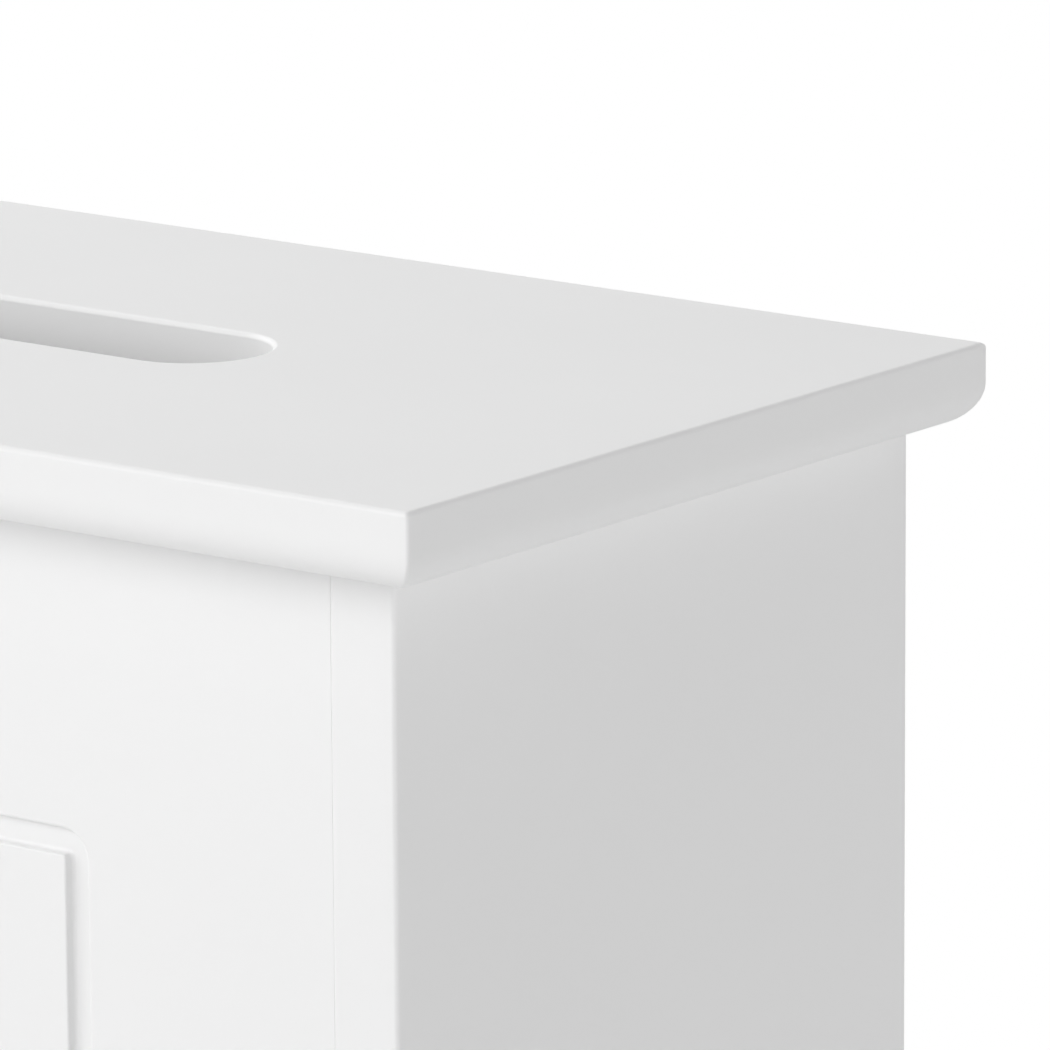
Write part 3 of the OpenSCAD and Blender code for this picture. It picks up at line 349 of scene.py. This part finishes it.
def makeTopBoard():
    low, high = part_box("top_board")
    t = topBoard
    half = ((high.x - low.x) / 2, (high.y - low.y) / 2)
    middle = ((high.x + low.x) / 2, (high.y + low.y) / 2)
    outside = [(inset, low.z + rise) for inset, rise in
               quarterArc(t["underRound"] * mm, t["roundSteps"])]
    outside += [(inset, high.z - drop) for inset, drop in
                quarterArc(t["ease"] * mm, t["easeSteps"])[::-1]]
    rings = []
    for inset, z in outside:
        loop = roundedLoop(middle, (half[0] - inset, half[1] - inset), t["corner"] * mm,
                           t["cornerSteps"])
        rings.append([(x, y, z) for x, y in loop])
    slotR = t["slotWidth"] / 2 * mm
    slotMiddle = (middle[0], low.y + t["slotFront"] * mm + slotR)
    endX = t["slotLength"] / 2 * mm - slotR
    wall = [(slotR + out, low.z + rise) for out, rise in
            quarterArc(t["slotUnder"] * mm, t["easeSteps"])]
    wall += [(slotR + out, high.z - drop) for out, drop in
             quarterArc(t["slotRim"] * mm, t["easeSteps"])[::-1]]
    slotRings = [[(x, y, z) for x, y in stadiumLoop(slotMiddle, endX, radius, t["slotSteps"])]
                 for radius, z in wall]
    slab = bmesh.new()
    outer = addRings(slab, rings)
    inner = addRings(slab, slotRings)
    fillBetween(slab, outer[0], inner[0])
    fillBetween(slab, outer[-1], inner[-1])
    cutters = bmesh.new()
    for node, head, bore, deep in (("cam_bolts_top", "boltHead", "boltThread", "boltDeep"),
                                   ("dowels_top", "dowel", "dowel", "dowelDeep"),
                                   ("bracket_screws", "screwHead", "screw", "screwDeep")):
        width = bores[head] * mm
        for place in placesOf(node, (width, width, high.z)):
            start = Vector((place.x, place.y, low.z - past))
            end = Vector((place.x, place.y, low.z + bores[deep] * mm))
            addDrill(cutters, start, end, bores[bore] / 2 * mm)
    board = finishBoard("topBoardPainted", slab, cutters)
    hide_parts("top_board")
    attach(board, "case")


# Door: a slab with a routed groove that leaves a raised panel

door = {                    # mm
    "frontEase": 0.4, "backEase": 0.3, "slantIn": 0.8385, "stile": 64.1, "rail": 65.3,
    "grooveWidth": 5.6, "grooveDepth": 2.4, "rimRound": 1.0, "cove": 0.9, "panelRound": 0.5,
    "panelCorner": 0.8,
    # The free edge reaches past the CAD door into its gap, and its front lip over the side's ease
    "reach": 0.42, "lip": 0.24, "lipDeep": 0.3, "lipEase": 0.04,
    "leafOut": 1.15,        # from the hinge pin's axis to the outer face of a leaf
    "pocketFit": 0.05, "knobBore": 4.1, "strikeBore": 3.1, "strikeDeep": 10,
}
doorSteps = {"ease": 6, "corner": 10}


def makeDoor():
    low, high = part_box("door")
    d = {key: value * mm for key, value in door.items()}
    thickness = high.y - low.y
    right = high.x + d["reach"]
    rings = []

    def addLoop(left, right, bottom, top, radius, depth):
        loop = roundedLoop(((left + right) / 2, (bottom + top) / 2),
                           ((right - left) / 2, (top - bottom) / 2), radius, doorSteps["corner"])
        rings.append([(x, low.y + depth, z) for x, z in loop])

    for inset, rise in quarterArc(d["backEase"], doorSteps["ease"]):
        addLoop(low.x + inset, right - d["slantIn"] - inset, low.z + inset, high.z - inset,
                d["backEase"], thickness - rise)
    for inset, depth in quarterArc(d["frontEase"], doorSteps["ease"])[::-1]:
        if depth < d["lipEase"]:
            fall = d["lipEase"] - depth
            out = d["lip"] - d["lipEase"] + math.sqrt(d["lipEase"] ** 2 - fall ** 2)
        else:
            out = d["lip"] * max(0, (d["lipDeep"] - depth) / (d["lipDeep"] - d["lipEase"]))
        addLoop(low.x + inset, right + out, low.z + inset, high.z - inset, d["frontEase"], depth)
    edgeX = d["stile"] + d["grooveWidth"]
    edgeZ = d["rail"] + d["grooveWidth"]

    def addGrooveLoop(out, depth):    # out is the distance from the raised panel's edge
        addLoop(low.x + edgeX - out, high.x - edgeX + out, low.z + edgeZ - out,
                high.z - edgeZ + out, d["panelCorner"] + out, depth)

    for out, depth in quarterArc(d["rimRound"], doorSteps["ease"]):
        addGrooveLoop(d["grooveWidth"] + out, depth)
    addGrooveLoop(d["grooveWidth"], d["grooveDepth"])
    for out, rise in quarterArc(d["cove"], doorSteps["ease"]):
        addGrooveLoop(out, d["grooveDepth"] - rise)
    for inset, depth in quarterArc(d["panelRound"], doorSteps["ease"])[::-1]:
        addGrooveLoop(-inset, depth)
    slab = bmesh.new()
    made = addRings(slab, rings)
    slab.faces.new(made[0])
    slab.faces.new(made[-1])
    cutters = bmesh.new()
    for end in ("top", "bottom"):
        pinLow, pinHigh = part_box("hinge_pin_" + end)
        leafLow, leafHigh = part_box("hinge_door_leaf_" + end)
        fit = d["pocketFit"]
        pocketX = (pinLow.x + pinHigh.x) / 2 + d["leafOut"]
        addChisel(cutters, Vector((low.x - past, low.y - past, leafLow.z - fit)),
                  Vector((pocketX, leafHigh.y + fit, leafHigh.z + fit)))
    for node, width, deep in (("knob_screw", "knobBore", thickness + 2 * past),
                              ("strike_screw", "strikeBore", d["strikeDeep"])):
        screwLow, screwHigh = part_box(node)
        x, z = (screwLow.x + screwHigh.x) / 2, (screwLow.z + screwHigh.z) / 2
        start = high.y + past
        addDrill(cutters, Vector((x, start, z)), Vector((x, start - deep, z)), d[width] / 2)
    leaf = finishBoard("doorPainted", slab, cutters)
    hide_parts("door")
    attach(leaf, "door")


makeTopBoard()
makeDoor()
print("stage: boards")


# Knob: turned in one piece, with hollows round its neck and a fine line at the edge of its face

knob = {                    # mm, radii and distances out from the door's face
    "boreRadius": 2.05, "boreDeep": 10.2, "footRadius": 8.5, "footThick": 1.5, "footEase": 0.4,
    "neckRadius": 5.5, "footHollow": 1.6, "headHollow": 2.2, "headStart": 12.4, "headRadius": 14,
    "headThick": 5, "headRound": 2.2, "lineWide": 0.5, "domeRise": 2.6,
    "sides": 96, "steps": 10, "lineSteps": 6, "domeSteps": 20,
    "merge": 0.0001,        # points nearer than this are one
}


def arcPoints(middle, radius, start, end, steps):    # angles in degrees
    angles = [math.radians(start + (end - start) * k / steps) for k in range(steps + 1)]
    return [(middle[0] + radius * math.cos(a), middle[1] + radius * math.sin(a)) for a in angles]


def makeKnob():
    low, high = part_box("knob")
    k = knob
    n = k["steps"]
    foot = k["footRadius"] - k["footEase"]
    profile = [(0, k["boreDeep"]), (k["boreRadius"], k["boreDeep"]), (k["boreRadius"], 0)]
    profile += arcPoints((foot, k["footEase"]), k["footEase"], -90, 0, n)
    profile += arcPoints((foot, k["footThick"] - k["footEase"]), k["footEase"], 0, 90, n)
    profile += arcPoints((k["neckRadius"] + k["footHollow"], k["footThick"] + k["footHollow"]),
                         k["footHollow"], 270, 180, n)
    profile += arcPoints((k["neckRadius"] + k["headHollow"], k["headStart"] - k["headHollow"]),
                         k["headHollow"], 180, 90, n)
    edge = k["headRadius"] - k["headRound"]
    profile += arcPoints((edge, k["headStart"] + k["headRound"]), k["headRound"], -90, 0, n)
    faceStart = k["headStart"] + k["headThick"]
    profile += arcPoints((edge, faceStart - k["headRound"]), k["headRound"], 0, 90, n)
    profile += arcPoints((edge - k["lineWide"] / 2, faceStart), k["lineWide"] / 2, 0, -180,
                         k["lineSteps"])
    inner = edge - k["lineWide"]
    ball = (inner ** 2 + k["domeRise"] ** 2) / (2 * k["domeRise"])
    rim = math.degrees(math.acos(inner / ball))
    profile += arcPoints((0, faceStart + k["domeRise"] - ball), ball, rim, 90, k["domeSteps"])
    middle = (low + high) / 2
    rings = []
    for radius, out in profile:
        ring = []
        for s in range(k["sides"]):
            angle = 2 * math.pi * s / k["sides"]
            ring.append((middle.x + radius * mm * math.cos(angle), high.y - out * mm,
                         middle.z + radius * mm * math.sin(angle)))
        rings.append(ring)
    turned = bmesh.new()
    addRings(turned, rings)
    bmesh.ops.remove_doubles(turned, verts=turned.verts[:], dist=k["merge"] * mm)
    head = newObject("knobTurned", meshOf("knobTurned", turned))
    head.data.shade_smooth()
    head.data.set_sharp_from_angle(angle=math.radians(sharpAngle))
    head.data.materials.append(materials["satinNickelPlate"])
    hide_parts("knob")
    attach(head, "door")


makeKnob()
print("stage: knob")


# Pieces grown by geometry nodes

def newTree(name, sockets):    # sockets is a name and a kind for each input, besides the points
    tree = bpy.data.node_groups.new(name, "GeometryNodeTree")
    keys = {}
    for label, kind in (("Points", "Geometry"), *sockets.items()):
        made = tree.interface.new_socket(label, in_out="INPUT", socket_type="NodeSocket" + kind)
        keys[label] = made.identifier
    tree.interface.new_socket("Geometry", in_out="OUTPUT", socket_type="NodeSocketGeometry")
    return tree, addNode(tree, "NodeGroupInput").outputs, keys


def closeTree(tree, geometry, finish):
    whole = addNode(tree, "GeometryNodeRealizeInstances", inputs={"Geometry": geometry})
    dressed = addNode(tree, "GeometryNodeSetMaterial", inputs={
        "Geometry": whole.outputs["Geometry"], "Material": finish})
    addNode(tree, "NodeGroupOutput", inputs={"Geometry": dressed.outputs["Geometry"]})


def grow(name, points, tree, keys, values):    # runs a tree on points and keeps the plain mesh
    mesh = bpy.data.meshes.new(name)
    mesh.from_pydata(points, [], [])
    piece = newObject(name, mesh)
    build = piece.modifiers.new("grow", "NODES")
    build.node_group = tree
    for label, value in values.items():
        build[keys[label]] = value
    bakeModifiers(piece)
    return piece


# Spring of the roll spindle: a wire coil whose first and last turns lie almost closed

spring = {"wire": 1.2, "turns": 9, "wireSides": 12, "pointsPerTurn": 32, "travel": 8}    # mm


def makeSpring():
    tree, given, keys = newTree("coilSpring", {
        "Wire Radius": "Float", "Coil Radius": "Float", "Length": "Float", "Turns": "Float",
        "Finish": "Material"})
    coil = addNode(tree, "GeometryNodeCurveSpiral", inputs={
        "Resolution": spring["pointsPerTurn"], "Rotations": given["Turns"], "Height": 1,
        "Start Radius": given["Coil Radius"], "End Radius": given["Coil Radius"]})
    place = addNode(tree, "GeometryNodeInputPosition")
    parts = addNode(tree, "ShaderNodeSeparateXYZ", inputs={"Vector": place.outputs["Position"]})
    rise = addNode(tree, "ShaderNodeMapRange", {"interpolation_type": "SMOOTHSTEP"}, {
        "Value": parts.outputs["Z"], "To Max": given["Length"]})
    spot = addNode(tree, "ShaderNodeCombineXYZ", inputs={
        "X": rise.outputs["Result"], "Y": parts.outputs["X"], "Z": parts.outputs["Y"]})
    laid = addNode(tree, "GeometryNodeSetPosition", inputs={
        "Geometry": coil.outputs["Curve"], "Position": spot.outputs["Vector"]})
    section = addNode(tree, "GeometryNodeCurvePrimitiveCircle", inputs={
        "Resolution": spring["wireSides"], "Radius": given["Wire Radius"]})
    wire = addNode(tree, "GeometryNodeCurveToMesh", inputs={
        "Curve": laid.outputs["Geometry"], "Profile Curve": section.outputs["Curve"],
        "Fill Caps": True})
    spread = addNode(tree, "GeometryNodeInstanceOnPoints", inputs={
        "Points": given["Points"], "Instance": wire.outputs["Mesh"]})
    closeTree(tree, spread.outputs["Instances"], given["Finish"])
    low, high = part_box("spindle_spring")
    radius = spring["wire"] / 2 * mm
    start = Vector((low.x + radius, (low.y + high.y) / 2, (low.z + high.z) / 2))
    length = high.x - low.x - 2 * radius
    coilSpring = grow("spindleSpringWire", [start], tree, keys, {
        "Wire Radius": radius, "Coil Radius": (high.z - low.z) / 2 - radius, "Length": length,
        "Turns": float(spring["turns"]), "Finish": materials["zincPlatedSteel"]})
    coilSpring.data.shade_smooth()
    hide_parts("spindle_spring")
    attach(coilSpring, "spindle")
    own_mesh(coilSpring)


# Dowels: fluted, so that the glue can spread, with chamfered ends

dowels = {"width": 8, "length": 30, "chamfer": 1, "flutes": 20, "fluteDeep": 0.35}    # mm


def makeDowels():
    tree, given, keys = newTree("flutedDowels", {
        "Radius": "Float", "Length": "Float", "Chamfer": "Float", "Flutes": "Int",
        "Flute Depth": "Float", "Turn": "Rotation", "Finish": "Material"})
    half = addNode(tree, "ShaderNodeMath", {"operation": "MULTIPLY"}, {0: given["Length"], 1: 0.5})
    head = addNode(tree, "ShaderNodeCombineXYZ", inputs={"Z": half.outputs["Value"]})
    foot = addNode(tree, "ShaderNodeVectorMath", {"operation": "SCALE"}, {
        0: head.outputs["Vector"], "Scale": -1})
    axis = addNode(tree, "GeometryNodeCurvePrimitiveLine", inputs={
        "Start": foot.outputs["Vector"], "End": head.outputs["Vector"]})
    steps = addNode(tree, "GeometryNodeResampleCurve", inputs={
        "Curve": axis.outputs["Curve"], "Count": dowels["length"] + 1})    # a step each mm
    place = addNode(tree, "GeometryNodeInputPosition")
    fromMiddle = addNode(tree, "ShaderNodeVectorMath", {"operation": "LENGTH"}, {
        0: place.outputs["Position"]})
    fromEnd = addNode(tree, "ShaderNodeMath", {"operation": "SUBTRACT"}, {
        0: half.outputs["Value"], 1: fromMiddle.outputs["Value"]})
    slim = addNode(tree, "ShaderNodeMath", {"operation": "SUBTRACT"}, {
        0: given["Radius"], 1: given["Chamfer"]})
    taper = addNode(tree, "ShaderNodeMapRange", inputs={
        "Value": fromEnd.outputs["Value"], "From Max": given["Chamfer"],
        "To Min": slim.outputs["Value"], "To Max": given["Radius"]})
    share = addNode(tree, "ShaderNodeMath", {"operation": "DIVIDE"}, {
        0: given["Flute Depth"], 1: given["Radius"]})
    core = addNode(tree, "ShaderNodeMath", {"operation": "SUBTRACT"}, {
        0: 1.0, 1: share.outputs["Value"]})
    section = addNode(tree, "GeometryNodeCurveStar", inputs={
        "Points": given["Flutes"], "Inner Radius": core.outputs["Value"], "Outer Radius": 1.0})
    rod = addNode(tree, "GeometryNodeCurveToMesh", inputs={
        "Curve": steps.outputs["Curve"], "Profile Curve": section.outputs["Curve"],
        "Scale": taper.outputs["Result"], "Fill Caps": True})
    spread = addNode(tree, "GeometryNodeInstanceOnPoints", inputs={
        "Points": given["Points"], "Instance": rod.outputs["Mesh"], "Rotation": given["Turn"]})
    closeTree(tree, spread.outputs["Instances"], given["Finish"])
    width, length = dowels["width"] * mm, dowels["length"] * mm
    upright, lying = (width, width, length), (length, width, width)
    for node, size, turn, finish in (
            ("dowels_top", upright, 0, "beechUpright"), ("dowels_divider", lying, 90, "beechAlongX"),
            ("dowels_bottom", lying, 90, "beechAlongX"), ("dowels_apron", lying, 90, "beechAlongX")):
        group = grow(node.replace("dowels_", "flutedDowels_"), placesOf(node, size), tree, keys, {
            "Radius": width / 2, "Length": length, "Chamfer": dowels["chamfer"] * mm,
            "Flutes": dowels["flutes"], "Flute Depth": dowels["fluteDeep"] * mm,
            "Turn": (0, math.radians(turn), 0), "Finish": materials[finish]})
        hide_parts(node)
        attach(group, "case")


makeSpring()
makeDowels()
print("stage: spring and dowels")


# The CAD nodes that stay take the finish of the slot that the record names for them

def dressNodes():
    slots = {part["node"]: part["material_slot"] for part in frame["record"]["subparts"]}
    for name, obj in nodes.items():
        obj.data.materials.clear()
        obj.data.materials.append(materials[finishes[slots[name]]])


dressNodes()
print("stage: CAD nodes dressed")


# Floor, world and lamps

floor = {"half": 6.0, "colour": "F4F4F4", "fadeStart": 0.25, "fadeEnd": 0.9}    # metres from the middle

# Azimuth and height are in degrees, azimuth from the front round to the left. Level is the light on a
# white surface that faces the lamp. The back lamp is high, so that the top doesn't mirror it to the front
lamps = {
    "front": {"azimuth": 0, "height": 25, "level": 0.365},
    "frontLeft": {"azimuth": 40, "height": 30, "level": 0.26},
    "left": {"azimuth": 85, "height": 28, "level": 0.26},
    "backLeft": {"azimuth": 125, "height": 45, "level": 0.16},
    "back": {"azimuth": 180, "height": 60, "level": 0.096},
    "right": {"azimuth": -110, "height": 5, "level": 0.264},
    "frontRight": {"azimuth": -60, "height": 8, "level": 0.07},
}
lampPlace = {"distance": 3.0, "size": 2.0, "aim": (0, 0, 0.45)}     # metres
worldLevel = 0.2            # of the surroundings on a matt surface; seen or mirrored, they are white


def makeFloor():
    bm = bmesh.new()
    h = floor["half"]
    bm.faces.new([bm.verts.new((x * h, y * h, 0)) for x, y in ((-1, -1), (1, -1), (1, 1), (-1, 1))])
    plane = newObject("floor", meshOf("floor", bm))
    material = bpy.data.materials.new("paleFloor")
    material.use_nodes = True
    tree = material.node_tree
    tree.nodes.clear()
    matt = addNode(tree, "ShaderNodeBsdfDiffuse", inputs={"Color": linearColour(floor["colour"])})
    glow = addNode(tree, "ShaderNodeEmission", inputs={"Color": white, "Strength": 1})
    coords = addNode(tree, "ShaderNodeTexCoord")
    length = addNode(tree, "ShaderNodeVectorMath", {"operation": "LENGTH"}, {
        0: coords.outputs["Object"]})
    far = addNode(tree, "ShaderNodeMapRange", {"interpolation_type": "SMOOTHSTEP"}, {
        "Value": length.outputs["Value"], "From Min": floor["fadeStart"], "From Max": floor["fadeEnd"]})
    ray = addNode(tree, "ShaderNodeLightPath")
    seen = addNode(tree, "ShaderNodeMath", {"operation": "MULTIPLY"}, {
        0: far.outputs["Result"], 1: ray.outputs["Is Camera Ray"]})
    mix = addNode(tree, "ShaderNodeMixShader", inputs={
        0: seen.outputs["Value"], 1: matt.outputs["BSDF"], 2: glow.outputs["Emission"]})
    addNode(tree, "ShaderNodeOutputMaterial", inputs={"Surface": mix.outputs["Shader"]})
    plane.data.materials.append(material)


def makeWorld():
    world = bpy.data.worlds.new("studio")
    world.use_nodes = True
    tree = world.node_tree
    tree.nodes.clear()
    ray = addNode(tree, "ShaderNodeLightPath")
    direct = addNode(tree, "ShaderNodeMath", {"operation": "MAXIMUM"}, {
        0: ray.outputs["Is Camera Ray"], 1: ray.outputs["Is Glossy Ray"]})
    seen = addNode(tree, "ShaderNodeMath", {"operation": "MAXIMUM"}, {
        0: direct.outputs["Value"], 1: ray.outputs["Is Transmission Ray"]})
    strength = addNode(tree, "ShaderNodeMapRange", inputs={
        "Value": seen.outputs["Value"], "To Min": worldLevel, "To Max": 1.0})
    dome = addNode(tree, "ShaderNodeBackground", inputs={
        "Color": white, "Strength": strength.outputs["Result"]})
    addNode(tree, "ShaderNodeOutputWorld", inputs={"Surface": dome.outputs["Background"]})
    bpy.context.scene.world = world


def makeLamps():
    distance = lampPlace["distance"]
    for name, lamp in lamps.items():
        azimuth, height = math.radians(lamp["azimuth"]), math.radians(lamp["height"])
        direction = Vector((-math.sin(azimuth) * math.cos(height),
                            -math.cos(azimuth) * math.cos(height), math.sin(height)))
        data = bpy.data.lights.new(name, "AREA")
        data.shape = "DISK"
        data.size = lampPlace["size"]
        data.energy = lamp["level"] * math.pi ** 2 * distance ** 2    # watts that give this level
        obj = newObject(name, data)
        turn = direction.to_track_quat("Z", "Y").to_matrix().to_4x4()
        obj.matrix_world = Matrix.Translation(Vector(lampPlace["aim"]) + direction * distance) @ turn


makeFloor()
makeWorld()
makeLamps()
bpy.context.scene.view_settings.view_transform = "Standard"
print("stage: floor, world and lamps")
